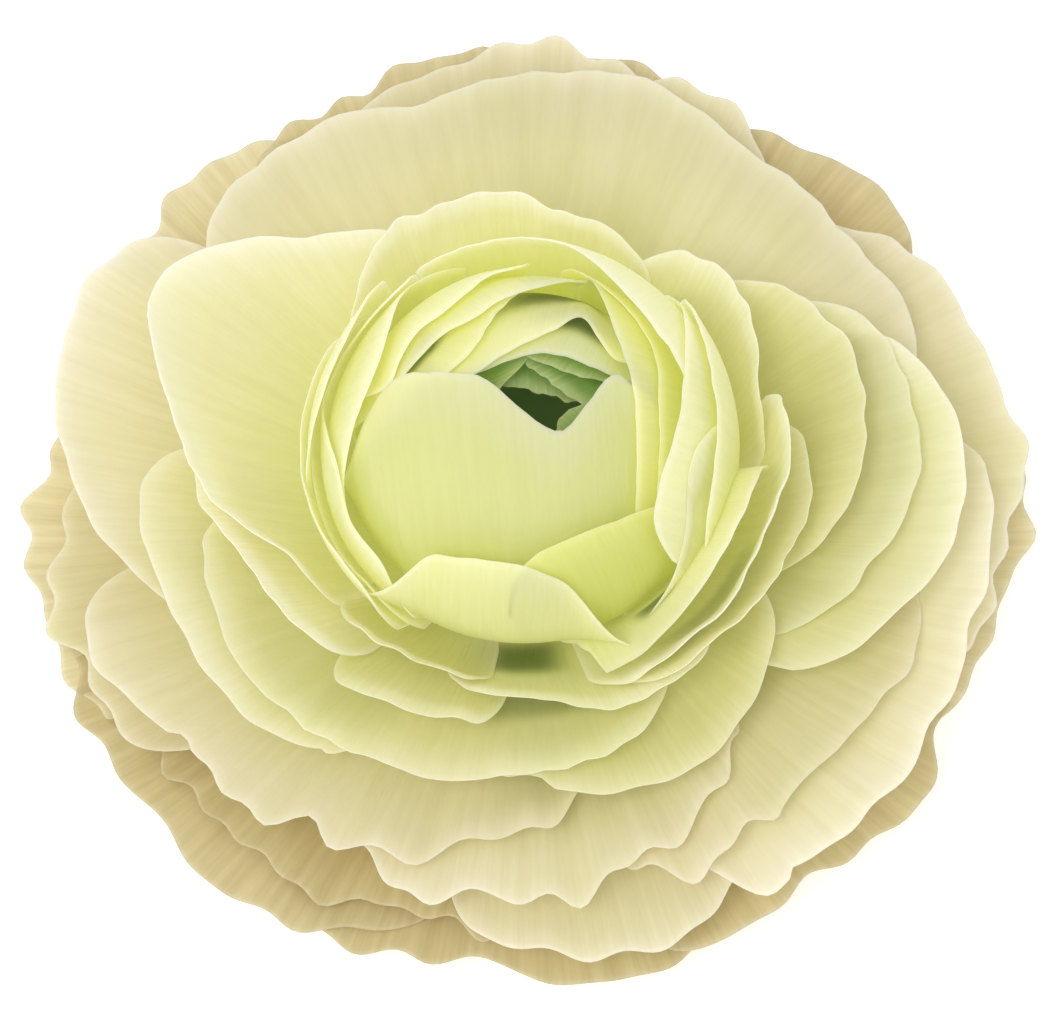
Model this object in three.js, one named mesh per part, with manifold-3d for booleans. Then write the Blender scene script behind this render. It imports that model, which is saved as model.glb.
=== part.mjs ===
// A double ranunculus bloom, cut short under its sepals and lying face up.
// Millimetres, +Z up. The stem's axis is the Z axis, the surface it lies on is z = 0, and -Y is the
// side that leans towards the viewer.
//
// Every petal lies on a shell round the bud's centre. A shell is a ball whose lower half is flattened,
// so its radius says how far out a petal lies, and the wrap angle, counted from straight down, says
// how far the petal climbs: 65 is an open petal that lies nearly flat, 90 stands upright at the bud's
// middle height, and 170 closes over the top. Shells nest, so petals of different radius stay clear.
import * as THREE from 'three';
import { mergeVertices } from 'three/addons/utils/BufferGeometryUtils.js';
import Module from 'manifold-3d';

const wasm = await Module();
wasm.setup();

// ---------------------------------------------------------------- driving dimensions
const CENTRE_HEIGHT = 19; // bud's centre over the surface
const SQUASH = 0.68; // height of a shell's lower half, as a share of its radius
const BLADE = 0.62; // petal thickness
const ROOT_WIDTH = 0.72; // a petal's root against its blade, in angle
const ROOT_SHOULDER = 0.6; // share of its length where a petal reaches full width
const BOWL = 1.0; // thickness of the bowl that a whorl's roots make together
const BOWL_FLAT = 50; // wrap where a bowl stops swelling
const BOWL_STEPS = 2;
const BOWL_SIDES = 12;
const CORNER_POWER = 5; // how late the rim turns into the side edges
const STEM_RADIUS = 2.6;
const RECEPTACLE_FOOT = 2.0; // height where the stem ends and the receptacle starts
const RECEPTACLE_RADIUS = 3.0; // at its foot
const RECEPTACLE_TOP = 13.2;
const RECEPTACLE_TIP = 1.5; // radius at its top
const SEAT = 0.3; // gap between pieces that touch
const SEPALS = 5;
const SEPAL_START = 54; // azimuth of the first sepal
const SEPAL_THICKNESS = 0.8;
const SEPAL_ROOT = 3.0; // distance from the axis to a sepal's root
const SEPAL_REACH = 16; // and to its tip
const SEPAL_HALF_WIDTHS = [1.5, 3.4, 4.2, 3.4, 0.9]; // from root to tip
const SEPAL_SEAT_HEIGHT = 1.15;
const SEPAL_TIP_HEIGHT = 0.3;
const SEPAL_ARCH = 0.35;
const SEPAL_COLUMNS = 4;
const SEPAL_ROWS = 4;
const ROUND_SIDES = 24;
const STEEP = 78; // past this wrap the rim's height is left to its shell
const MOST_DRAWN_IN = 0.78; // least share of its radius that a corner keeps when it stays level
const CLEARANCE = 0.3; // least that a rim stands out of its bowl

const degrees = THREE.MathUtils.degToRad;

// ---------------------------------------------------------------- petals, inside to outside
// Each row: azimuth of the midrib, half width in degrees, wrap at the rim and shell radius at the rim
// (both from the left edge to the right one, seen from outside), how much the rim drops at its
// corners, then the shell radius at the root and how late it swings out, where they aren't the whorl's.
// A whorl's roots join in a bowl: its shell radius on the axis, how much it swells outwards, the wrap
// where it ends, and the wraps where the first and the last petal leave it. The higher late is, the
// later the petals swing out from the bowl's shell. stagger is how much farther out the last petal's
// root lies than the first one's, and mostDrawnIn the least share of its radius that a corner keeps.
const EYE = {
  name: 'eye_petals',
  colour: 0x5d7f3a,
  columns: 4,
  rows: 3,
  bowl: { root: 11.4, swell: 0, end: 62, sunk: [54, 54] },
  late: 1.6,
  petals: [
    [90, 36, [172, 178, 176, 172.5, 169, 162, 150], [11.0, 11.0, 11.0], 0.06, 9.8],
    [40, 34, [140, 155, 163.5, 166.5, 167.5, 166, 150], [12.2, 12.2, 12.2], 0.06, 10.7],
    [200, 30, [196, 193, 176, 163, 158, 154, 146], [12.3, 12.3, 12.3], 0.06, 10.9],
    [330, 34, [150, 159, 163.5, 155, 140], [12.4, 12.4, 12.4], 0.06, 10.9],
    [60, 40, [138, 150, 159, 164, 163, 156, 146], [13.0, 13.0, 13.0], 0.06, 11.4],
  ],
};

const BUD = {
  name: 'bud_petals',
  colour: 0xdfe08a,
  columns: 6,
  rows: 5,
  bowl: { root: 16.5, swell: 0, end: 60, sunk: [52, 52] },
  late: 1.6,
  petals: [
    [70, 50, [150, 158, 164, 182, 186], [14.1, 14.3, 14.4, 14.3, 14.1], 0.06, 13.6],
    [80, 42, [158, 158, 158, 150, 142, 153, 160.5, 167, 174, 180, 180, 174, 165],
      [15.0, 15.1, 15.1], 0.06, 13.8],
    [150, 46, [158, 156, 158, 142, 125], [15.5, 15.7, 15.6], 0.08, 14.3],
    [10, 62, [130, 140, 144, 145, 145.5, 146, 143.5, 137, 131], [16.7, 16.7, 16.7], 0.08, 15.6],
    [275, 80, [150, 165, 180, 190, 193, 190, 186, 181, 170, 164, 173.5, 184, 178, 168, 155, 140, 125],
     [16.9, 16.9, 16.8, 16.5, 16.2, 16.2, 16.2], 0.05, 15.9],
    [125, 52, [150, 146, 147, 148, 149.5, 147, 147.5, 146, 142], [16.4, 16.3, 16.2], 0.08, 15.0],
    [130, 40, [134, 135, 135, 139, 141, 139, 141.5, 146, 135], [16.9, 16.9, 16.8], 0.08, 15.6],
    [18, 60, [130, 138, 139, 137.5, 134, 133, 134.5, 134, 128], [17.0, 17.0, 17.0], 0.08, 15.9],
  ],
};

const INNER = {
  name: 'inner_petals',
  colour: 0xe0e193,
  columns: 5,
  rows: 4,
  bowl: { root: 18.3, swell: 0.4, end: 44, sunk: [39, 34] },
  stagger: 0.6,
  late: 1.7,
  petals: [
    [172, 64, [124, 119, 126, 132, 132, 122, 109, 105, 104], [17.9, 18.0, 18.1, 18.1, 18.0], 0.04, 17.2],
    [314, 46, [134, 137, 135, 131, 125, 113, 92, 78], [18.0, 17.9, 17.9, 17.8], 0.06, 17.3],
    [262, 42, [90, 104, 122, 126, 126.5, 124.5, 117, 98, 80],
     [19.8, 19.4, 18.4, 18.2, 18.1, 18.2, 18.6, 20.4, 21.4], 0.06, 17.6],
    [58, 62, [140, 150, 144, 140, 135, 125, 119, 126.5, 133], [18.2, 18.4, 18.6, 18.6, 18.6], 0.06],
    [180, 58, [124, 130, 119, 100, 108, 114.5, 111, 113, 100], [18.3, 18.4, 18.4], 0.05, 17.9],
    [188, 52, [104, 104, 100, 95, 91, 86, 91, 93, 80], [19.0, 19.3, 19.1, 19.2], 0.05],
    [312, 44, [66, 70, 79, 92, 100, 106, 110, 110.5, 104], [22.0, 22.0, 22.2, 22.4, 22.2], 0.06, 18.0, 12],
    [160, 32, [114, 120, 110], [19.9, 19.9, 20.0], 0.12],
    [335, 40, [80, 92, 104, 116, 126, 126, 118, 98, 80], [18.9, 18.9, 19.0], 0.06],
    [5, 46, [142, 142, 140, 136.5, 134, 130, 123, 112.5, 105], [19.3, 19.4, 19.4], 0.06],
    [5, 40, [118, 120, 121.5, 122, 122.6, 122.7, 121, 117, 108], [20.0, 20.1, 20.1], 0.06],
    [190, 46, [98, 99, 95.5, 96, 99, 101, 92], [20.2, 20.3, 20.3], 0.06],
  ],
};

const MIDDLE = {
  name: 'middle_petals',
  colour: 0xe6e3a2,
  columns: 5,
  rows: 3,
  bowl: { root: 20.0, swell: 1.4, end: 42, sunk: [38, 28] },
  stagger: 0.9,
  mostDrawnIn: 0.94,
  late: 2.2,
  petals: [
    [31, 33, [88, 97, 98.5, 98, 96, 93, 86], [22.6, 22.2, 22.5, 23.5, 25.0, 24.4, 22.5], 0.06],
    [330, 44, [80, 90, 98, 100.5, 103, 107, 107.5, 110, 104], [23.4, 24.0, 24.4, 24.5, 24.6], 0.06],
    [238, 24, [82, 91, 92, 88, 90, 84], [22.6, 22.3, 22.0, 22.0], 0.08],
    [285, 34, [84, 87, 85, 83, 85, 87, 80], [22.8, 23.2, 24.4, 25.4, 24.8], 0.06],
    [330, 42, [80, 88, 96, 96.5, 96, 91, 91, 93, 88], [23.6, 25.4, 26.0, 26.0, 26.2], 0.06],
    [98, 42, [92, 103, 98, 99, 94], [20.8, 21.0, 24.6, 24.1, 21.4], 0.06],
    [12, 42, [80, 90.5, 92, 92, 84], [27.5, 29.8, 31.6, 28.6, 24.0], 0.1],
    [165, 54, [86, 92, 92, 89, 89.5, 92, 92.7, 93.5, 94.4, 95, 86],
     [25.4, 25.8, 28.6, 35.0, 37.8, 34.8, 31.8, 29.4, 26.6, 22.8, 21.6], 0.06],
    [204, 28, [84, 87, 89.5, 91.2, 91.5, 91.2, 84], [31.6, 29.4, 27.4, 26.1, 25.6], 0.06],
    [246, 20, [80, 86, 88, 85, 87, 80], [27.8, 26.8, 26.2, 26.0], 0.1],
    [245, 60, [84, 86, 83.5, 81.5, 80, 79, 80, 82, 78], [31.0, 32.1, 31.8, 29.8, 27.4], 0.06],
    [298, 36, [76, 79, 79, 80, 80], [31.6, 32.0, 32.9, 30.2, 27.4], 0.06],
    [0, 42, [74, 84.5, 89, 87.5, 80], [30.0, 33.0, 36.0, 35.0, 30.0], 0.1],
    [210, 36, [84, 85, 83.5, 80, 76], [36.0, 35.5, 35.1, 34.7, 32.0], 0.06],
    [350, 40, [70, 78, 85.5, 87, 89, 90, 90, 88, 82], [29.0, 35.6, 39.8, 39.0, 33.2], 0.1],
  ],
};

const OUTER = {
  name: 'outer_petals',
  colour: 0xe6dcae,
  columns: 6,
  rows: 3,
  bowl: { root: 22.0, swell: 3.4, end: 40, sunk: [36, 28] },
  stagger: 0.8,
  mostDrawnIn: 0.86,
  late: 2.0,
  petals: [
    [238, 46, [80, 78.5, 76.3, 75.2, 74], [47.5, 42.4, 40.3, 37.2, 33.8], 0.06],
    [315, 34, [74, 77, 79, 80, 76], [43.5, 41.2, 39.6, 41.0, 41.0], 0.08],
    [78, 74, [81, 80, 79.5, 80, 81.5, 82, 80], [40.6, 40.2, 40.4, 42.0, 39.0, 40.8, 41.0], 0.06],
    [277, 34, [74, 75.5, 75.8, 76.6, 76], [42.4, 41.6, 41.2, 37.6, 35.0], 0.06],
    [173, 33, [78, 82, 84, 83.5, 79], [46.0, 45.8, 43.8, 40.0, 36.5], 0.06],
    [8, 42, [71, 76, 75], [48.2, 46.4, 45.0], 0.08],
    [199, 26, [70, 72, 70], [46.2, 47.4, 45.0], 0.1],
    [84, 36, [72, 75, 72], [46.0, 46.4, 46.2], 0.08],
    [283, 26, [69, 72, 69], [46.6, 47.2, 44.6], 0.08],
    [330, 42, [74, 79.5, 81, 82, 78], [46.4, 46.2, 45.0, 43.8, 43.5], 0.08],
  ],
};

const GUARD = {
  name: 'guard_petals',
  colour: 0xcdb983,
  columns: 7,
  rows: 3,
  bowl: { root: 23.8, swell: 6.6, end: 40, sunk: [36, 28] },
  ripple: 0.2,
  stagger: 0.6,
  late: 1.2,
  petals: [
    [240, 44, [65, 65, 64], [47.6, 46.6, 47.0], 0.08],
    [224, 36, [65, 66, 65], [50.0, 50.8, 50.4], 0.08],
    [314, 36, [65, 66, 65], [49.8, 50.2, 50.0], 0.08],
    [46, 36, [66, 68, 67], [49.4, 49.4, 49.4], 0.08],
    [142, 36, [66, 68, 66], [49.4, 49.6, 49.4], 0.08],
    [184, 32, [65, 67, 65], [50.2, 50.6, 50.0], 0.08],
    [270, 36, [64, 64, 64], [50.4, 51.0, 50.4], 0.08],
    [2, 38, [65, 67, 66], [50.6, 51.4, 51.0], 0.08],
    [94, 38, [68, 70, 68], [49.2, 50.0, 49.2], 0.08],
  ],
};

// Smooth curve through evenly spaced values, for t from -1 to 1.
function smooth(values, t) {
  const last = values.length - 1;
  const place = ((t + 1) / 2) * last;
  const i = Math.min(Math.floor(place), last - 1);
  const f = place - i;
  const at = (k) => values[THREE.MathUtils.clamp(k, 0, last)];
  const [a, b, c, d] = [at(i - 1), at(i), at(i + 1), at(i + 2)];
  const square = (2 * a - 5 * b + 4 * c - d) * f * f;
  const cube = (3 * b - a - 3 * c + d) * f * f * f;
  return 0.5 * (2 * b + (c - a) * f + square + cube);
}

// Point on a shell: below the bud's middle the side angle is an azimuth, above it a tilt away from
// the petal's own plane, so that a petal keeps its width as it closes over the top.
function shellPoint(azimuth, wrap, side, radius) {
  const p = degrees(wrap);
  const q = degrees(side);
  const up = wrap > 90;
  const forward = Math.sin(p) * Math.cos(q);
  const lateral = (up ? 1 : Math.sin(p)) * Math.sin(q);
  const rise = -Math.cos(p) * (up ? Math.cos(q) : SQUASH);
  const point = new THREE.Vector3(forward, lateral, rise).multiplyScalar(radius);
  point.applyAxisAngle(new THREE.Vector3(0, 0, 1), degrees(azimuth));
  point.z += CENTRE_HEIGHT;
  return point;
}

// Radius of the bowl of roots at a wrap.
function bowlRadius(bowl, wrap) {
  return bowl.root + bowl.swell * THREE.MathUtils.smoothstep(wrap, 0, BOWL_FLAT);
}

// Middle surface of a petal: u runs across it from -1 to 1, v from its sunk end to its rim.
function petalPoint(petal, u, v) {
  const { azimuth, half, wraps, radii, corner, bowl, late, mostDrawnIn, sunk, ripple } = petal;
  const rimWrap = smooth(wraps, u);
  const rounded = 1 - corner * Math.abs(u) ** CORNER_POWER - 0.1 * Math.abs(u) ** 14;
  const tip = rimWrap * rounded * (1 + 0.02 * ripple * Math.sin(9 * u + azimuth));
  const level = (angle) => Math.cos(degrees(Math.min(angle, STEEP)));
  const drawnIn = Math.max(level(rimWrap) / level(tip), mostDrawnIn);
  const rimRadius = Math.max(smooth(radii, u) * drawnIn, bowlRadius(bowl, tip) + CLEARANCE);
  const wrap = sunk + (tip - sunk) * v;
  const width = ROOT_WIDTH + (1 - ROOT_WIDTH) * Math.min(wrap / tip / ROOT_SHOULDER, 1);
  const reach = (rimRadius - bowlRadius(bowl, tip)) * v ** late;
  const point = shellPoint(azimuth, wrap, half * u * width, bowlRadius(bowl, wrap) + reach);
  point.z += ripple * v ** 4 * Math.sin(11 * u + 2 * azimuth);
  return point;
}

// The whorl's rows as petals with named fields. Outer petals leave the bowl lower down.
function petalsOf(whorl) {
  const last = whorl.petals.length - 1;
  return whorl.petals.map(([azimuth, half, wraps, radii, corner, root, late], k) => ({
    azimuth,
    half,
    wraps,
    radii,
    corner,
    bowl: { ...whorl.bowl, root: root ?? whorl.bowl.root + (whorl.stagger ?? 0) * (k / last) },
    late: late ?? whorl.late,
    mostDrawnIn: whorl.mostDrawnIn ?? MOST_DRAWN_IN,
    sunk: THREE.MathUtils.lerp(...whorl.bowl.sunk, k / last),
    ripple: whorl.ripple ?? 0,
  }));
}

// Closed blade: the middle surface moved half its thickness each way, both faces split alike. The
// surface is a point for u from -1 to 1 and v from 0 to 1.
function bladeSolid(surface, columns, rows, thickness) {
  const step = 1e-3;
  const points = [];
  for (const face of [1, -1]) {
    for (let j = 0; j <= rows; j++) {
      for (let i = 0; i <= columns; i++) {
        const u = THREE.MathUtils.clamp((2 * i) / columns - 1, -1 + step, 1 - step);
        const v = THREE.MathUtils.clamp((j / rows) ** 0.8, step, 1 - step);
        const across = surface(u + step, v).sub(surface(u - step, v));
        const along = surface(u, v + step).sub(surface(u, v - step));
        const normal = across.cross(along).normalize();
        const point = surface(u, v).addScaledVector(normal, (face * thickness) / 2);
        point.z = Math.max(point.z, 0);
        points.push(point);
      }
    }
  }
  const size = (columns + 1) * (rows + 1);
  const index = (i, j, face) => j * (columns + 1) + i + (face > 0 ? 0 : size);
  const triangles = [];
  const quad = (a, b, c, d) => triangles.push(a, b, c, a, c, d);
  for (let j = 0; j < rows; j++) {
    for (let i = 0; i < columns; i++) {
      const corners = [[i, j], [i + 1, j], [i + 1, j + 1], [i, j + 1]];
      const [a, b, c, d] = corners.map(([x, y]) => index(x, y, 1));
      quad(a, b, c, d);
      triangles.push(a + size, c + size, b + size, a + size, d + size, c + size);
    }
  }
  for (let i = 0; i < columns; i++) {
    quad(index(i, 0, -1), index(i + 1, 0, -1), index(i + 1, 0, 1), index(i, 0, 1));
    quad(index(i + 1, rows, -1), index(i, rows, -1), index(i, rows, 1), index(i + 1, rows, 1));
  }
  for (let j = 0; j < rows; j++) {
    quad(index(0, j + 1, -1), index(0, j, -1), index(0, j, 1), index(0, j + 1, 1));
    quad(index(columns, j, -1), index(columns, j + 1, -1), index(columns, j + 1, 1), index(columns, j, 1));
  }
  const geometry = new THREE.BufferGeometry().setFromPoints(points);
  geometry.setIndex(triangles);
  return solidOf(geometry);
}

// ---------------------------------------------------------------- solids and meshes
function solidOf(geometry) {
  const plain = geometry.clone();
  plain.deleteAttribute('normal');
  plain.deleteAttribute('uv');
  const merged = mergeVertices(plain, 1e-4);
  return new wasm.Manifold(new wasm.Mesh({
    numProp: 3,
    vertProperties: merged.attributes.position.array,
    triVerts: new Uint32Array(merged.index.array),
  }));
}

// The largest body of a joined solid: drops loose scrap, and fills hollows that joining sealed.
function largestBody(solid) {
  return solid.decompose().reduce((best, body) => (body.volume() > best.volume() ? body : best));
}

function meshOf(name, solid, colour, roughness) {
  const { vertProperties, triVerts } = solid.getMesh();
  const geometry = new THREE.BufferGeometry();
  geometry.setAttribute('position', new THREE.BufferAttribute(vertProperties, 3));
  geometry.setIndex(new THREE.BufferAttribute(triVerts, 1));
  geometry.computeVertexNormals();
  const material = new THREE.MeshStandardMaterial({ color: colour, roughness, metalness: 0 });
  const mesh = new THREE.Mesh(geometry, material);
  mesh.name = name;
  return mesh;
}

function receptacleRadius(z) {
  const t = (z - RECEPTACLE_FOOT) / (RECEPTACLE_TOP - RECEPTACLE_FOOT);
  return THREE.MathUtils.lerp(RECEPTACLE_RADIUS, RECEPTACLE_TIP, t);
}

// Solid of revolution from a closed or axis-to-axis outline of [radius, height] pairs.
function turned(outline, sides) {
  const profile = outline.map(([r, z]) => new THREE.Vector2(r, z));
  const geometry = new THREE.LatheGeometry(profile, sides);
  geometry.rotateX(Math.PI / 2);
  return solidOf(geometry);
}

// The bowl that a whorl's roots make together, from the receptacle outwards.
function rootBowl(whorl, petals) {
  const roots = petals.map((petal) => petal.bowl.root);
  const inside = { ...whorl.bowl, root: Math.min(...roots) - BOWL / 2 };
  const outside = { ...whorl.bowl, root: Math.max(...roots) + BOWL / 2 };
  const bore = receptacleRadius(CENTRE_HEIGHT - SQUASH * outside.root) + SEAT;
  const startWrap = THREE.MathUtils.radToDeg(Math.asin(bore / inside.root));
  const side = (bowl) => Array.from({ length: BOWL_STEPS + 1 }, (_, step) => {
    const wrap = THREE.MathUtils.lerp(startWrap, bowl.end, step / BOWL_STEPS);
    const radius = bowlRadius(bowl, wrap);
    const reach = step === 0 ? bore : radius * Math.sin(degrees(wrap));
    return [reach, CENTRE_HEIGHT - SQUASH * radius * Math.cos(degrees(wrap))];
  });
  const outline = [...side(outside), ...side(inside).reverse()];
  return turned([...outline, outline[0]], BOWL_SIDES);
}

function whorlMesh(whorl) {
  const petals = petalsOf(whorl);
  const blades = petals.map((petal) => {
    const surface = (u, v) => petalPoint(petal, u, v);
    return bladeSolid(surface, whorl.columns, whorl.rows, BLADE);
  });
  const joined = blades.reduce((sum, blade) => sum.add(blade), rootBowl(whorl, petals));
  return meshOf(whorl.name, largestBody(joined), whorl.colour, 0.75);
}

function stemMesh() {
  const outline = [
    [0, 0],
    [STEM_RADIUS, 0],
    [STEM_RADIUS, RECEPTACLE_FOOT - 0.4],
    [RECEPTACLE_RADIUS, RECEPTACLE_FOOT],
    [RECEPTACLE_TIP, RECEPTACLE_TOP],
    [0, RECEPTACLE_TOP],
  ];
  return meshOf('stem_and_receptacle', turned(outline, ROUND_SIDES), 0x7d9a4e, 0.6);
}

// Sepal: a leaf-shaped scale that spreads under the petals and touches the surface with its tip.
function sepalMesh(number) {
  const turn = degrees(SEPAL_START + (360 / SEPALS) * number);
  const surface = (u, v) => {
    const reach = THREE.MathUtils.lerp(SEPAL_ROOT, SEPAL_REACH, v);
    const side = u * smooth(SEPAL_HALF_WIDTHS, 2 * v - 1);
    const arch = SEPAL_ARCH * Math.sin(Math.PI * v) * (1 - u * u / 2);
    const height = THREE.MathUtils.lerp(SEPAL_SEAT_HEIGHT, SEPAL_TIP_HEIGHT, v) + arch;
    return new THREE.Vector3(reach, side, height).applyAxisAngle(new THREE.Vector3(0, 0, 1), turn);
  };
  const solid = bladeSolid(surface, SEPAL_COLUMNS, SEPAL_ROWS, SEPAL_THICKNESS);
  return meshOf(`sepal_${number + 1}`, solid, 0x86994f, 0.7);
}

const bloom = new THREE.Group();
bloom.add(stemMesh());
for (let number = 0; number < SEPALS; number++) bloom.add(sepalMesh(number));
for (const whorl of [EYE, BUD, INNER, MIDDLE, OUTER, GUARD]) bloom.add(whorlMesh(whorl));

export default bloom;
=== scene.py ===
"""A double ranunculus bloom in fresh petals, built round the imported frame."""
import math

import bpy
import numpy as np
from mathutils import Euler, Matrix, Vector


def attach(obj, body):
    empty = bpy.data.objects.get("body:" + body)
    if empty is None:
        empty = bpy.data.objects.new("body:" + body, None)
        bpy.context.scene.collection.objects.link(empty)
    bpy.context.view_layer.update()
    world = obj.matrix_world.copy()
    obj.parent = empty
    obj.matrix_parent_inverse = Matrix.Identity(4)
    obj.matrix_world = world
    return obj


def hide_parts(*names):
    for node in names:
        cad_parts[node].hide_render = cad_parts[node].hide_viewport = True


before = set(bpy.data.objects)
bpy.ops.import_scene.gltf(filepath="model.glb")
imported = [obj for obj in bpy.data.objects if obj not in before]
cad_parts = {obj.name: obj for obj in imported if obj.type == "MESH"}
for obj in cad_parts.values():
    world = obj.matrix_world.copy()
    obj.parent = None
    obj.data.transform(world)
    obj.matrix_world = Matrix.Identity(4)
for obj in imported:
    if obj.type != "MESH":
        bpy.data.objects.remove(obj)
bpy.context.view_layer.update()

MM = 0.001

# ------------------------------------------------------------------ the shells that petals lie on
# The law of the part's source, in millimetres, save that wide petals are rounded off differently at
# their corners: a petal is a height field over a ball round the bud's centre whose lower half is
# flattened. wrap is counted in degrees from straight down.
CENTRE_HEIGHT = 19.0
SQUASH = 0.68  # height of a shell's lower half, as a share of its radius
ROOT_WIDTH = 0.72  # width of a petal at its root, as a share of its full width
ROOT_SHOULDER = 0.6  # share of its wrap at which a petal is fully wide
CORNER_POWER = 5  # how late across a petal its corners begin to drop
TIP_DROP, TIP_POWER = 0.1, 14  # the further drop at the very corner
CORNER_ROUNDING = 1.5  # a wide petal is cut back by this many times that drop instead
STEEP = 78.0  # wrap past which a rim is no longer drawn in
MOST_DRAWN_IN = 0.78  # least share of its radius that a rim keeps
CLEARANCE = 0.3  # of a rim over its bowl
LIP_START = 0.86  # share of a petal's length at which its lip begins
SHARED_WAVE, OWN_WAVE = 0.8, 0.4  # shares of the whorl's waves and of the petal's own
OWN_PACE = 4  # how much closer a petal's own waves follow one another
RIM_RIPPLES, BLADE_RIPPLES = 9, 11  # radians of a ripple over half a petal's width
RIM_RIPPLE_DEPTH = 0.02  # of a rim's line, as a share of its wrap
BOWL_THICKNESS = 1.0
BOWL_FLAT = 50.0  # wrap at which a bowl has swollen fully
BOWL_TAPER = 0.3  # share of its thickness that each face of a bowl loses at the edge
BOWL_STEPS, BOWL_SIDES = 12, 64  # faces along and round a bowl
STEM_TOP = 13.2
RECEPTACLE = ((2.0, 3.0), (STEM_TOP, 1.5))  # height and radius at its foot and at its top
SEAT = 0.3  # gap between the receptacle and a bowl

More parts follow.
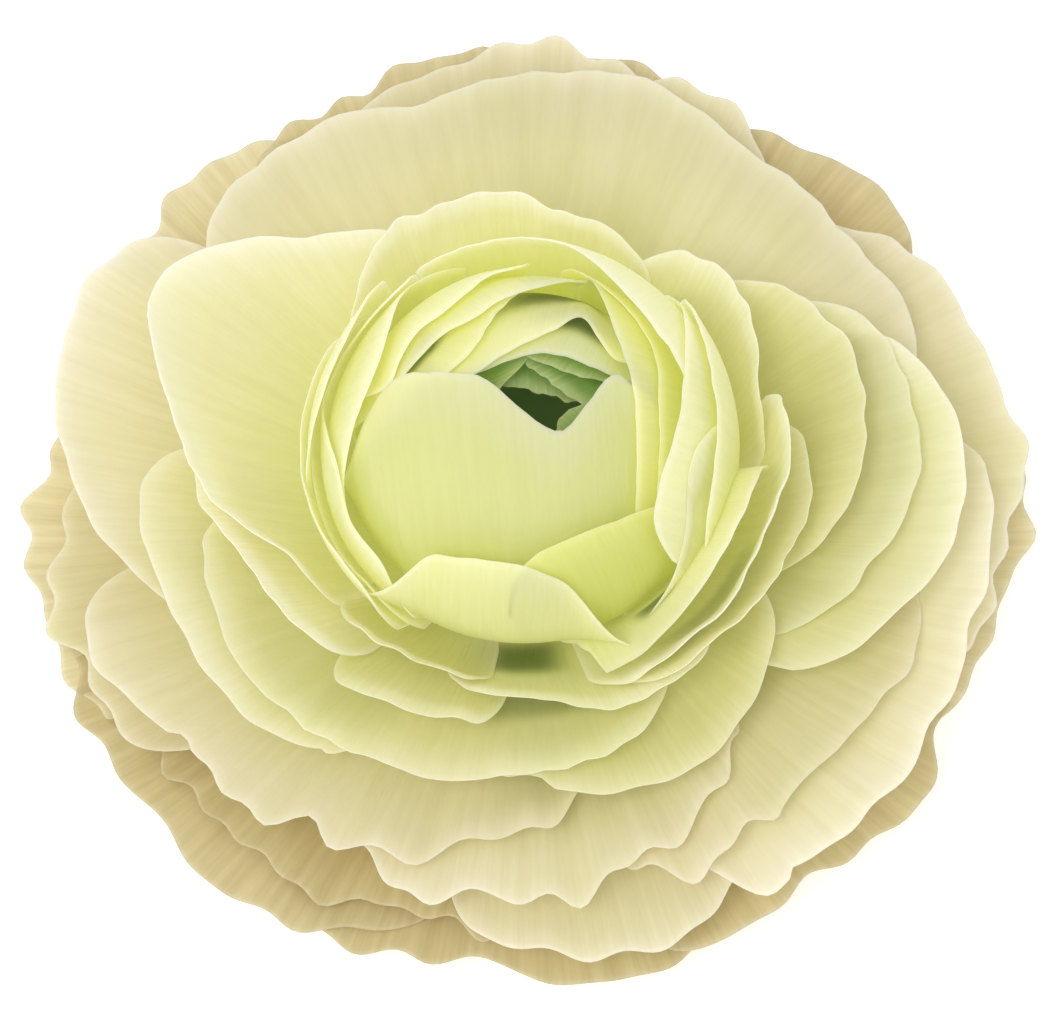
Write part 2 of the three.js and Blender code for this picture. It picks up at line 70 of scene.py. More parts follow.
# A whorl:
#   late     power by which a petal swings out from the bowl: the larger, the later
#   bowl     radius, swell, wrap of its edge, and wraps at which its first and last petals leave it
#   stagger  how much farther out the last petal's root lies than the first one's
#   grid     faces across and along a petal
#   thick    thickness at the root and at the rim
#   lip      how far a rim rolls outward
#   wave     height of the waves in a blade
#   ragged   unevenness of a rim's line, in hundredths
#   ripple   height of the tight waves of the outermost petals
#   drawn    given where petals are wide and flat, with corners rounded off within their own surface:
#            least share of its radius that a rim keeps
#   tone_and_shade_tints  how much of the shade's colour each petal takes, partly its own tone and partly
#   painted shade where it lies in shadow; drawn by lot where none are given
#   painted_fold_shades  painted shade, dark green where folds lie in shadow: petal, place across and along
#   it, half sizes and strength
# A petal: azimuth, half width, wraps and radii of its rim from its left edge to its right one (seen
# from outside), how much its corners drop, and its own root radius and lateness where it has them.
WHORLS = {
    "eye_petals": dict(
        late=1.6, bowl=(11.4, 0, 62, (54, 54)), grid=(40, 30),
        thick=(0.3, 0.2), lip=0.35, wave=0.12, ragged=0.3,
        petals=[
            (90, 36, (172, 178, 176, 172.5, 169, 162, 150), (11.0, 11.0, 11.0), 0.06, 9.8),
            (40, 34, (140, 155, 163.5, 166.5, 167.5, 166, 150), (12.2, 12.2, 12.2), 0.06, 10.7),
            (200, 30, (196, 193, 176, 163, 158, 154, 146), (12.3, 12.3, 12.3), 0.06, 10.9),
            (330, 34, (150, 159, 163.5, 155, 140), (12.4, 12.4, 12.4), 0.06, 10.9),
            (60, 40, (138, 150, 159, 164, 163, 156, 146), (13.0, 13.0, 13.0), 0.06, 11.4),
        ]),
    "bud_petals": dict(
        late=1.6, bowl=(16.5, 0, 60, (52, 52)), grid=(72, 52),
        thick=(0.32, 0.22), lip=0.15, wave=0.05, ragged=0.12,
        tone_and_shade_tints=(0.2, 0.1, 0.5, 0.4, 0.3, 0.2, 0.0, 0.4),
        painted_fold_shades=[(1, -0.1, 0.68, 0.45, 0.115, 0.95), (0, -0.2, 0.78, 0.4, 0.085, 1.0),
               (2, 0.05, 0.82, 0.22, 0.045, 0.9)],
        petals=[
            (70, 50, (150, 158, 164, 182, 186), (14.1, 14.3, 14.4, 14.3, 14.1), 0.06, 13.6),
            (80, 42, (158, 158, 158, 150, 142, 153, 160.5, 167, 174, 180, 180, 174, 165),
             (15.0, 15.1, 15.1), 0.06, 13.8),
            (150, 46, (158, 156, 158, 142, 125), (15.5, 15.7, 15.6), 0.08, 14.3),
            (10, 62, (130, 140, 144, 145, 145.5, 146, 143.5, 137, 131), (16.7, 16.7, 16.7), 0.08, 15.6),
            (275, 80,
             (150, 165, 180, 190, 193, 190, 186, 181, 170, 164, 173.5, 184, 178, 168, 155, 140, 125),
             (16.9, 16.9, 16.8, 16.5, 16.2, 16.2, 16.2), 0.05, 15.9),
            (125, 52, (150, 146, 147, 148, 149.5, 147, 147.5, 146, 142),
             (16.4, 16.3, 16.2), 0.08, 15.0),
            (130, 40, (134, 135, 135, 139, 141, 139, 141.5, 146, 135), (16.9, 16.9, 16.8), 0.08, 15.6),
            (18, 60, (130, 138, 139, 137.5, 134, 133, 134.5, 134, 128), (17.0, 17.0, 17.0), 0.08, 15.9),
        ]),
    "inner_petals": dict(
        late=1.7, bowl=(18.3, 0.4, 44, (39, 34)), grid=(72, 48),
        thick=(0.32, 0.22), lip=0.2, wave=0.08, ragged=0.15,
        stagger=0.6,
        tone_and_shade_tints=(0.3, 1.5, 0.7, 0.0, 0.3, 0.3, 0.6, 0.3, 0.3, 0.3, 0.3, 0.3),
        painted_fold_shades=[(6, -0.25, 0.87, 0.16, 0.05, 0.9)],
        petals=[
            (172, 64, (124, 119, 126, 132, 132, 122, 109, 105, 104),
             (17.9, 18.0, 18.1, 18.1, 18.0), 0.04, 17.2),
            (314, 46, (134, 137, 135, 131, 125, 113, 92, 78), (18.0, 17.9, 17.9, 17.8), 0.06, 17.3),
            (262, 42, (90, 104, 122, 126, 126.5, 124.5, 117, 98, 80),
             (19.8, 19.4, 18.4, 18.2, 18.1, 18.2, 18.6, 20.4, 21.4), 0.06, 17.6),
            (58, 62, (140, 150, 144, 140, 135, 125, 119, 126.5, 133),
             (18.2, 18.4, 18.6, 18.6, 18.6), 0.06),
            (180, 58, (124, 130, 119, 100, 108, 114.5, 111, 113, 100), (18.3, 18.4, 18.4), 0.05, 17.9),
            (188, 52, (104, 104, 100, 95, 91, 86, 91, 93, 80), (19.0, 19.3, 19.1, 19.2), 0.05),
            (318, 38, (70, 79, 90, 98, 103.5, 108, 110.3, 110.4, 104),
             (22.0, 22.1, 22.2, 22.4, 22.2), 0.06, 18.0, 12),
            (160, 32, (114, 120, 110), (19.9, 19.9, 20.0), 0.12),
            (335, 40, (80, 92, 104, 116, 126, 126, 118, 98, 80), (18.9, 18.9, 19.0), 0.06),
            (5, 46, (142, 142, 140, 136.5, 134, 130, 123, 112.5, 105), (19.3, 19.4, 19.4), 0.06),
            (5, 40, (118, 120, 121.5, 122, 122.6, 122.7, 121, 117, 108), (20.0, 20.1, 20.1), 0.06),
            (190, 46, (98, 99, 95.5, 96, 99, 101, 92), (20.2, 20.3, 20.3), 0.06),
        ]),
    "middle_petals": dict(
        late=2.2, bowl=(20.0, 1.4, 42, (38, 28)), grid=(68, 42),
        thick=(0.32, 0.22), lip=0.4, wave=0.35, ragged=0.22,
        stagger=0.9, drawn=0.94,
        tone_and_shade_tints=(0.2, 0.2, 0.7, 0.4, 0.8, 0.0, 1.0, 0.1, 0.0, 0.7, 0.7, 0.8, 0.7, 0.4, 0.5),
        painted_fold_shades=[(3, -0.45, 0.36, 0.36, 0.18, 1.0), (1, -0.2, 0.7, 0.36, 0.12, 0.5),
               (10, 0.48, 0.63, 0.26, 0.1, 0.6)],
        petals=[
            (31, 33, (88, 97, 98.5, 98, 96, 93, 86), (22.6, 22.2, 22.5, 23.5, 25.0, 24.4, 22.5), 0.06),
            (330, 44, (80, 90, 98, 100.5, 103, 107, 107.5, 110, 104),
             (23.4, 24.0, 24.4, 24.5, 24.6), 0.06),
            (240, 22, (82, 91, 92, 88, 90, 84), (22.3, 22.3, 22.0, 22.0), 0.08),
            (285, 34, (84, 87, 85, 83, 85, 87, 80), (22.8, 23.2, 24.4, 25.4, 24.8), 0.06),
            (330, 42, (80, 88, 96, 96.5, 96, 91, 91, 93, 88), (23.6, 25.4, 26.0, 26.0, 26.2), 0.1),
            (98, 42, (92, 103, 98, 99, 94), (20.8, 21.0, 24.6, 24.1, 21.4), 0.06),
            (12, 42, (80, 90.5, 92, 92, 84), (27.5, 29.8, 31.6, 28.6, 24.0), 0.14),
            (165, 54, (86, 92, 92, 89, 89.5, 92, 92.7, 93.5, 94.4, 95, 86),
             (25.4, 25.8, 28.6, 35.0, 37.8, 34.8, 31.8, 29.4, 26.6, 23.4, 22.8), 0.06),
            (204, 28, (84, 87, 89.5, 91.2, 91.5, 91.2, 84), (31.6, 29.4, 27.4, 26.1, 25.6), 0.06),
            (246, 20, (80, 86, 88, 85, 87, 80), (27.8, 26.8, 26.2, 26.0), 0.1),
            (245, 60, (84, 86, 83.5, 81.5, 80, 79, 80, 82, 78), (31.0, 32.1, 31.8, 29.8, 27.4), 0.06),
            (298, 36, (76, 79, 79, 80, 80), (31.6, 32.0, 32.9, 30.2, 27.4), 0.06),
            (0, 42, (74, 84.5, 89, 87.5, 80), (30.0, 33.0, 36.0, 35.0, 30.0), 0.14),
            (210, 36, (84, 85, 83.5, 80, 76), (36.0, 35.5, 35.1, 34.7, 32.0), 0.06),
            (350, 40, (70, 78, 85.5, 87, 89, 90, 90, 88, 82), (29.0, 35.6, 39.8, 39.0, 33.2), 0.1),
        ]),
    "outer_petals": dict(
        late=2.0, bowl=(22.0, 3.4, 40, (36, 28)), grid=(80, 40),
        thick=(0.32, 0.2), lip=0.4, wave=0.6, ragged=0.3,
        stagger=0.8, drawn=0.86, tone_and_shade_tints=(0.5, 0.4, 0.15, 0.3, 0.1, 0.5, 0.8, 0.6, 0.4, 0.0),
        painted_fold_shades=[(1, 0.1, 0.6, 0.4, 0.16, 0.25), (0, 0.8, 0.82, 0.2, 0.1, 0.25),
               (3, 0.3, 0.72, 0.5, 0.1, 0.15), (2, 0.0, 1.0, 1.2, 0.15, 0.13)],
        petals=[
            (238, 46, (80, 78.5, 76.3, 75.2, 74), (47.5, 42.4, 40.3, 37.2, 33.8), 0.06),
            (315, 34, (74, 77, 79, 80, 76), (43.5, 41.2, 39.6, 41.0, 41.0), 0.08),
            (78, 74, (81, 80, 79.5, 80, 81.5, 82, 80),
             (40.6, 40.2, 40.4, 42.0, 39.0, 40.8, 41.0), 0.06),
            (277, 34, (74, 75.5, 75.8, 76.6, 76), (42.4, 41.6, 41.2, 37.6, 35.0), 0.06),
            (173, 33, (78, 82, 84, 83.5, 79), (46.0, 45.8, 43.8, 40.0, 36.5), 0.06),
            (8, 42, (71, 76, 75), (48.2, 46.4, 45.0), 0.08),
            (199, 26, (70, 72, 70), (46.2, 47.4, 45.0), 0.1),
            (84, 36, (72, 75, 72), (46.0, 46.4, 46.2), 0.08),
            (283, 26, (69, 72, 69), (46.6, 47.2, 44.6), 0.08),
            (330, 42, (74, 79.5, 81, 82, 78), (46.4, 46.2, 45.0, 43.8, 43.5), 0.08),
        ]),
    "guard_petals": dict(
        late=1.2, bowl=(23.8, 6.6, 40, (36, 28)), grid=(96, 30),
        thick=(0.34, 0.2), lip=0.2, wave=0.45, ragged=0.3,
        stagger=0.6, drawn=0.78, ripple=0.2, tone_and_shade_tints=(0.9, 0.9, 0.8, 0.9, 0.2, 0.1, 1.0, 0.1, 0.8),
        petals=[
            (240, 44, (65, 65, 64), (47.6, 46.6, 47.0), 0.08),
            (224, 36, (65, 66, 65), (50.0, 50.8, 50.4), 0.08),
            (314, 36, (65, 66, 65), (49.8, 50.2, 50.0), 0.08),
            (46, 36, (66, 68, 67), (49.4, 49.4, 49.4), 0.08),
            (142, 36, (66, 68, 66), (49.4, 49.6, 49.4), 0.08),
            (184, 32, (65, 67, 65), (50.2, 50.6, 50.0), 0.08),
            (270, 36, (64, 64, 64), (50.4, 51.0, 50.4), 0.08),
            (2, 38, (65, 67, 66), (50.6, 51.4, 51.0), 0.08),
            (94, 38, (68, 70, 68), (49.2, 50.0, 49.2), 0.08),
        ]),
}


def smooth(values, t):
    """Smooth curve through evenly spaced values, for t from -1 to 1."""
    values = np.asarray(values, float)
    last = len(values) - 1
    place = (np.clip(t, -1, 1) + 1) / 2 * last
    i = np.minimum(place.astype(int), last - 1)
    f = place - i
    a, b, c, d = (values[np.clip(i + k, 0, last)] for k in (-1, 0, 1, 2))
    return 0.5 * (2 * b + (c - a) * f + (2 * a - 5 * b + 4 * c - d) * f**2 + (3 * b - a - 3 * c + d) * f**3)


def smoothstep(x, low, high):
    t = np.clip((x - low) / (high - low), 0, 1)
    return t * t * (3 - 2 * t)


def shell_point(azimuth, wrap, side, radius):
    """Points on a shell, as an array whose last axis is x, y, z."""
    p, q, a = np.radians(wrap), np.radians(side), np.radians(azimuth)
    up = wrap > 90
    forward = np.sin(p) * np.cos(q)
    lateral = np.where(up, 1, np.sin(p)) * np.sin(q)
    rise = -np.cos(p) * np.where(up, np.cos(q), SQUASH)
    x = forward * np.cos(a) - lateral * np.sin(a)
    y = forward * np.sin(a) + lateral * np.cos(a)
    return np.stack([x * radius, y * radius, rise * radius + CENTRE_HEIGHT], -1)


def bowl_radius(root, swell, wrap):
    return root + swell * smoothstep(wrap, 0, BOWL_FLAT)


WAVE_SLANT = 2.5  # most radians that a wave runs on from root to rim


class Waves:
    """Sum of seeded waves over an angle in degrees and a second coordinate: a soft, closed noise."""

    def __init__(self, rng, low, high, count):
        self.around = rng.integers(low, high + 1, count)
        self.along = rng.uniform(-WAVE_SLANT, WAVE_SLANT, count)
        self.phase = rng.uniform(0, 2 * math.pi, count)
        self.size = 1 / np.sqrt(self.around)
        self.size = self.size / np.sqrt(np.sum(self.size**2) / 2)

    def at(self, angle, v):
        turn = np.radians(angle)
        return sum(
            s * np.sin(k * turn + m * v + p)
            for s, k, m, p in zip(self.size, self.around, self.along, self.phase)
        )


def root_radius(whorl, row, order):
    return row[5] if len(row) > 5 else whorl["bowl"][0] + whorl.get("stagger", 0) * order


def levelness(wrap):
    return np.cos(np.radians(np.minimum(wrap, STEEP)))


def petal_surface(whorl, row, order, own, shared, u, v):
    """Middle surface of a petal for u across (-1 to 1) and v along (0 at the root, 1 at the rim).

    order runs from 0 at the whorl's first petal to 1 at its last, which leaves the bowl lower and
    farther out. own and shared are the waves of the petal and of its whorl.
    """
    azimuth, half, wraps, radii, corner = row[:5]
    root = root_radius(whorl, row, order)
    late = row[6] if len(row) > 6 else whorl["late"]
    swell, ripple = whorl["bowl"][1], whorl.get("ripple", 0)
    sunk = np.interp(order, [0, 1], whorl["bowl"][3])
    rim_wrap = smooth(wraps, u)
    rounded = 1 - corner * np.abs(u) ** CORNER_POWER - TIP_DROP * np.abs(u) ** TIP_POWER
    if "drawn" in whorl:
        v = v * (1 - CORNER_ROUNDING * (1 - rounded))
        rounded = 1
    scallop = 1 + whorl["ragged"] / 100 * own.at(u * half * OWN_PACE, 0)
    rippled = 1 + RIM_RIPPLE_DEPTH * ripple * np.sin(RIM_RIPPLES * u + azimuth)
    tip = rim_wrap * rounded * scallop * rippled
    drawn_in = np.maximum(levelness(rim_wrap) / levelness(tip), whorl.get("drawn", MOST_DRAWN_IN))
    rim = np.maximum(smooth(radii, u) * drawn_in, bowl_radius(root, swell, tip) + CLEARANCE)
    wrap = sunk + (tip - sunk) * v
    width = ROOT_WIDTH + (1 - ROOT_WIDTH) * np.minimum(wrap / tip / ROOT_SHOULDER, 1)
    side = half * u * width
    reach = (rim - bowl_radius(root, swell, tip)) * v**late
    lip = whorl["lip"] * smoothstep(v, LIP_START, 1.0) ** 2
    common = SHARED_WAVE * shared.at(azimuth + side, v) * v**2
    wave = whorl["wave"] * (common + OWN_WAVE * own.at(side * OWN_PACE, v) * v**5)
    points = shell_point(azimuth, wrap, side, bowl_radius(root, swell, wrap) + reach + lip + wave)
    points[..., 2] += ripple * v**4 * np.sin(BLADE_RIPPLES * u + 2 * azimuth)
    return points


def unit(vectors):
    return vectors / np.maximum(np.linalg.norm(vectors, axis=-1, keepdims=True), 1e-12)


RIM_CROWDING = 1.35  # power that crowds a blade's rows towards its rim
SIDE_CROWDING = 0.35  # how far its columns crowd towards its sides
EDGE_THICKNESS, EDGE_WIDTH = 0.35, 0.5  # share of its thickness at the edge, and where it is whole


def blade(surface, columns, rows, thick):
    """Closed thin blade round a surface: vertices, quads, and (u, v, distance to the edge) per vertex."""
    v = 1 - (1 - np.linspace(0, 1, rows + 1)) ** RIM_CROWDING
    crowded = np.sin(np.linspace(-math.pi / 2, math.pi / 2, columns + 1))
    u = crowded * SIDE_CROWDING + np.linspace(-1, 1, columns + 1) * (1 - SIDE_CROWDING)
    uu, vv = np.meshgrid(u, v)
    middle = surface(uu, vv)
    across = np.gradient(middle, axis=1)
    along = np.gradient(middle, axis=0)
    normal = unit(np.cross(across, along))
    span = np.linalg.norm(np.diff(middle, axis=1), axis=-1)
    reach = np.linalg.norm(np.diff(middle, axis=0), axis=-1)
    to_rim = np.concatenate([np.cumsum(reach[::-1], 0)[::-1], np.zeros((1, columns + 1))], 0)
    left = np.concatenate([np.zeros((rows + 1, 1)), np.cumsum(span, 1)], 1)
    edge = np.minimum(to_rim, np.minimum(left, left[:, -1:] - left))
    whole = EDGE_THICKNESS + (1 - EDGE_THICKNESS) * smoothstep(edge, 0, EDGE_WIDTH)
    half = (thick[0] + (thick[1] - thick[0]) * vv) / 2 * whole
    size = (columns + 1) * (rows + 1)
    verts = np.concatenate([(middle + normal * half[..., None]).reshape(-1, 3),
                            (middle - normal * half[..., None]).reshape(-1, 3)])
    index = np.arange(size).reshape(rows + 1, columns + 1)
    corners = [index[:-1, :-1], index[:-1, 1:], index[1:, 1:], index[1:, :-1]]
    outer = np.stack(corners, -1).reshape(-1, 4)
    quads = [outer, outer[:, ::-1] + size]
    loop = np.concatenate([index[0, :-1], index[:-1, -1], index[-1, :0:-1], index[:0:-1, 0]])
    after = np.roll(loop, -1)
    quads.append(np.stack([after, loop, loop + size, after + size], -1))
    about = np.stack([uu, vv, edge], -1).reshape(-1, 3)
    return verts, np.concatenate(quads), np.concatenate([about, about])


def bowl_of_roots(whorl, roots):
    """The thin bowl that a whorl's roots make together, tapered where the petals leave it."""
    _, swell, end, _ = whorl["bowl"]
    inside, outside = min(roots) - BOWL_THICKNESS / 2, max(roots) + BOWL_THICKNESS / 2
    (foot, foot_radius), (top, top_radius) = RECEPTACLE
    height = CENTRE_HEIGHT - SQUASH * outside
    bore = foot_radius + (top_radius - foot_radius) * (height - foot) / (top - foot) + SEAT
    start = math.degrees(math.asin(bore / inside))
    rings = []
    for radius, order in ((outside, 1), (inside, -1)):
        taper = np.linspace(0, 1, BOWL_STEPS + 1) ** 2 * BOWL_TAPER * BOWL_THICKNESS * order
        wraps = np.linspace(start, end, BOWL_STEPS + 1)
        r = bowl_radius(radius, swell, wraps) - taper
        reach = r * np.sin(np.radians(wraps))
        reach[0] = bore
        ring = np.stack([reach, CENTRE_HEIGHT - SQUASH * r * np.cos(np.radians(wraps))], -1)
        rings.append(ring[::order])
    return lathe(np.concatenate(rings), BOWL_SIDES, closed=True)


def lathe(profile, sides, closed):
    """Solid of revolution: vertices and faces. profile is (radius, height), up the outside."""
    turn = np.linspace(0, 2 * math.pi, sides, endpoint=False)
    verts = np.stack([np.outer(np.cos(turn), profile[:, 0]), np.outer(np.sin(turn), profile[:, 0]),
                      np.tile(profile[:, 1], (sides, 1))], -1).reshape(-1, 3)
    n = len(profile)
    faces = []
    for k in range(sides):
        after = (k + 1) % sides
        for i in range(n if closed else n - 1):
            j = (i + 1) % n
            faces.append((k * n + i, after * n + i, after * n + j, k * n + j))
    if not closed:
        faces.append([k * n for k in range(sides)][::-1])
        faces.append([k * n + n - 1 for k in range(sides)])
    return verts, faces


def make_piece(name, verts, faces, about, material):
    """Mesh object in metres with its looks' coordinates as point attributes."""
    mesh = bpy.data.meshes.new(name)
    mesh.from_pydata((verts * MM).tolist(), [], [list(map(int, f)) for f in faces])
    mesh.validate()
    for key, values in about.items():
        layer = mesh.attributes.new(key, "FLOAT_VECTOR", "POINT")
        layer.data.foreach_set("vector", np.asarray(values, np.float32).ravel())
    mesh.polygons.foreach_set("use_smooth", [True] * len(mesh.polygons))
    mesh.materials.append(material)
    piece = bpy.data.objects.new(name, mesh)
    bpy.context.scene.collection.objects.link(piece)
    return piece


# ------------------------------------------------------------------ materials
def linear(hex_colour):
    """Red, green, blue and alpha of a screen colour, as light."""
    channels = [int(hex_colour[i:i + 2], 16) / 255 for i in (0, 2, 4)]
    return tuple(c / 12.92 if c <= 0.04045 else ((c + 0.055) / 1.055) ** 2.4 for c in channels) + (1.0,)


def set_inputs(node, values):
    for name, value in values.items():
        node.inputs[name].default_value = value


def ramp(tree, value, stops):
    """Colour for a value, from stops of a place and a colour."""
    node = tree.nodes.new("ShaderNodeValToRGB")
    node.color_ramp.interpolation = "EASE"
    elements = node.color_ramp.elements
    while len(elements) > 1:
        elements.remove(elements[-1])
    elements[0].position, elements[0].color = stops[0][0], linear(stops[0][1])
    for place, colour in stops[1:]:
        elements.new(place).color = linear(colour)
    tree.links.new(value, node.inputs["Fac"])
    return node.outputs["Color"]


def maths(tree, operation, *values):
    node = tree.nodes.new("ShaderNodeMath")
    node.operation = operation
    for socket, value in zip(node.inputs, values):
        if isinstance(value, bpy.types.NodeSocket):
            tree.links.new(value, socket)
        else:
            socket.default_value = value
    return node.outputs[0]


def mixed(tree, kind, factor, a, b):
    node = tree.nodes.new("ShaderNodeMix")
    node.data_type = "RGBA"
    node.blend_type = kind
    for name, value in (("Factor", factor), ("A", a), ("B", b)):
        sockets = [s for s in node.inputs if s.name == name and s.enabled]
        if isinstance(value, bpy.types.NodeSocket):
            tree.links.new(value, sockets[0])
        else:
            sockets[0].default_value = value
    return next(s for s in node.outputs if s.enabled)


def noise(tree, vector, *, scale, detail, roughness=0.5):
    node = tree.nodes.new("ShaderNodeTexNoise")
    set_inputs(node, {"Scale": scale, "Detail": detail, "Roughness": roughness})
    tree.links.new(vector, node.inputs["Vector"])
    return node.outputs["Fac"]


def spread(tree, value, low, high, most):
    """A value between low and high, spread over 0 to most."""
    node = tree.nodes.new("ShaderNodeMapRange")
    set_inputs(node, {"From Min": low, "From Max": high, "To Max": most})
    tree.links.new(value, node.inputs["Value"])
    return node.outputs[0]


def point_values(tree, name):
    """The three values that a mesh keeps for each point under this name."""
    source = tree.nodes.new("ShaderNodeAttribute")
    source.attribute_name = name
    parts = tree.nodes.new("ShaderNodeSeparateXYZ")
    tree.links.new(source.outputs["Vector"], parts.inputs[0])
    return parts.outputs


PAINTED_SHADE_GREEN = "66743f"  # painted shade: the dark green painted into folds that no light reaches
FLUSH = "e2ec98"  # green that shows in soft patches
MOTTLE_SCALE, PATCH_SCALE, TISSUE_SCALE = 110, 45, 1500  # per metre
MOTTLE_DEPTH = 0.16  # how far mottling shifts the colours along a petal
RIM_POWER, RIM_SHARE = 1.6, 0.85  # how fast the pale edge, partly the petal's own and partly a painted highlight, fades, and its strength
VEINS_ACROSS, VEINS_ALONG = 26.0, 2.2  # spans of the vein noise over half a width and a length
SEED_REACH = 37.0  # how far apart in that noise two petals can lie
VEIN_EDGE, VEIN_HEART = 0.66, 0.36  # noise where a vein begins and where it is darkest
PATCH_EDGE, PATCH_HEART = 0.48, 0.7  # the same of a green patch
TONE_AND_SHADE_SHARE = 0.5  # of the shade's colour that a tint of 1 brings, as own tone and painted shade
TISSUE_RELIEF = 0.15  # against that of the veins
BUMP_STRENGTH, BUMP_HEIGHT = 0.35, 0.0003  # the height is in metres
ROUGHNESS, ROUGHNESS_SPREAD = 0.5, 0.2
SPECULAR = 0.25
LIGHT_PATH = 0.002  # how far light runs inside a petal, in metres
LIGHT_PATH_SHARES = (1.0, 1.0, 0.8)  # of that for red, green and blue


def petal_material(name, stops, rim, rim_width, vein, shade, translucency, painted_glow=0.0, flush=0.0):
    """Petal tissue: colour runs from root to rim, with a pale edge that is partly its own and partly a
    painted highlight, fanned veins, soft patches, tints that are partly painted shade, dark green painted
    shade in folds and a painted glow.
    """
    material = bpy.data.materials.new(name)
    material.use_nodes = True
    tree = material.node_tree
    link = tree.links.new
    shader = tree.nodes["Principled BSDF"]
    across, along, edge = point_values(tree, "place")
    tone_and_shade, seed, fold_shade = point_values(tree, "kind")
    body_place = tree.nodes.new("ShaderNodeTexCoord").outputs["Object"]

    mottle = noise(tree, body_place, scale=MOTTLE_SCALE, detail=3)
    uneven = maths(tree, "MULTIPLY_ADD", mottle, MOTTLE_DEPTH, -MOTTLE_DEPTH / 2)
    body = ramp(tree, maths(tree, "ADD", along, uneven), stops)

    # the pale edge: partly the petal's own paler rim, partly a painted highlight where the rolled lip
    # catches light
    nearness = maths(tree, "SUBTRACT", 1.0, maths(tree, "DIVIDE", edge, rim_width))
    rim_paleness_and_highlight = maths(tree, "MULTIPLY", maths(tree, "POWER", nearness, RIM_POWER),
                     maths(tree, "LESS_THAN", edge, rim_width))
    with_pale_highlit_rim = mixed(tree, "MIX", maths(tree, "MULTIPLY", rim_paleness_and_highlight, RIM_SHARE), body, linear(rim))

    fan = tree.nodes.new("ShaderNodeCombineXYZ")
    stretched = ((across, VEINS_ACROSS), (along, VEINS_ALONG), (seed, SEED_REACH))
    for socket, (value, times) in zip(fan.inputs, stretched):
        link(maths(tree, "MULTIPLY", value, times), socket)
    veins = noise(tree, fan.outputs[0], scale=1.0, detail=4, roughness=0.6)
    dark_vein = spread(tree, veins, VEIN_EDGE, VEIN_HEART, vein)
    veined = mixed(tree, "MULTIPLY", dark_vein, with_pale_highlit_rim, linear(shade))
    # tints: partly the petal's own tone, partly painted shade on petals that lie in shadow
    tone_and_shade_darkened = mixed(tree, "MULTIPLY", maths(tree, "MULTIPLY", tone_and_shade, TONE_AND_SHADE_SHARE), veined, linear(shade))
    patch = noise(tree, body_place, scale=PATCH_SCALE, detail=2)
    green_patch = spread(tree, patch, PATCH_EDGE, PATCH_HEART, flush)
    flushed = mixed(tree, "MULTIPLY", green_patch, tone_and_shade_darkened, linear(FLUSH))
    # painted shade: dark green mixed into the colour where folds lie in shadow
    with_painted_fold_shade = mixed(tree, "MIX", fold_shade, flushed, linear(PAINTED_SHADE_GREEN))

    bump = tree.nodes.new("ShaderNodeBump")
    set_inputs(bump, {"Strength": BUMP_STRENGTH, "Distance": BUMP_HEIGHT})
    tissue = noise(tree, body_place, scale=TISSUE_SCALE, detail=2)
    link(maths(tree, "MULTIPLY_ADD", tissue, TISSUE_RELIEF, veins), bump.inputs["Height"])

    link(with_painted_fold_shade, shader.inputs["Base Color"])
    # painted light: the petal's own colour glows, lifting the shade between petals in place of light let
    # through the tissue
    link(with_painted_fold_shade, shader.inputs["Emission Color"])
    link(bump.outputs[0], shader.inputs["Normal"])
    link(maths(tree, "MULTIPLY_ADD", mottle, ROUGHNESS_SPREAD, ROUGHNESS), shader.inputs["Roughness"])
    set_inputs(shader, {"Specular IOR Level": SPECULAR, "Emission Strength": painted_glow,
                        "Subsurface Weight": translucency, "Subsurface Scale": LIGHT_PATH,
                        "Subsurface Radius": LIGHT_PATH_SHARES})
    return material


# Colours from root to rim, of the pale edge (partly the petal's own, partly a painted highlight) and of the
# shade in veins and tints (the tints partly painted shade), and how far each effect goes; painted_glow is
# painted light, an emission of the petal's own colour. The edge's width is in millimetres.
LOOKS = {
    "eye_petals": dict(
        stops=[(0.0, "728c56"), (0.3, "587c40"), (0.6, "6f964a"), (0.9, "98b866"), (1.0, "bccd8a")],
        rim="ccd69a", rim_width=0.5, vein=0.25, shade="7d9a50", translucency=0.6, painted_glow=0.16),
    "bud_petals": dict(
        stops=[(0.0, "d8da8e"), (0.45, "e3e592"), (0.8, "e9ea9a"), (1.0, "eeedb0")],
        rim="f6f4d2", rim_width=0.9, vein=0.1, shade="d2d77c", translucency=0.75, painted_glow=0.15, flush=0.3),
    "inner_petals": dict(
        stops=[(0.0, "dfe09e"), (0.45, "e3e3a2"), (0.8, "e6e6aa"), (1.0, "ebe9bc")],
        rim="f5f3d4", rim_width=1.1, vein=0.1, shade="ccd277", translucency=0.8, painted_glow=0.18, flush=0.3),
    "middle_petals": dict(
        stops=[(0.0, "e2e1aa"), (0.5, "dfdea2"), (0.82, "e2dfae"), (1.0, "e7e3be")],
        rim="f6f2d6", rim_width=3.0, vein=0.13, shade="c2c474", translucency=0.7, painted_glow=0.155, flush=0.25),
    "outer_petals": dict(
        stops=[(0.0, "d6d68e"), (0.5, "e4e0a6"), (0.82, "e4ddb2"), (1.0, "e2d9b6")],
        rim="f0e9ce", rim_width=2.4, vein=0.16, shade="c6c088", translucency=0.5, painted_glow=0.13, flush=0.2),
    "guard_petals": dict(
        stops=[(0.0, "c6b87a"), (0.5, "d6c690"), (0.82, "e2d3a2"), (1.0, "e9deb2")],
        rim="ece4c0", rim_width=1.2, vein=0.28, shade="b8a878", translucency=0.15, painted_glow=0.11),
}


def green_material(name, stops):
    return petal_material(name, stops, rim=stops[-1][1], rim_width=0.4, vein=0.4, shade="8ea860",
                          translucency=0.15)


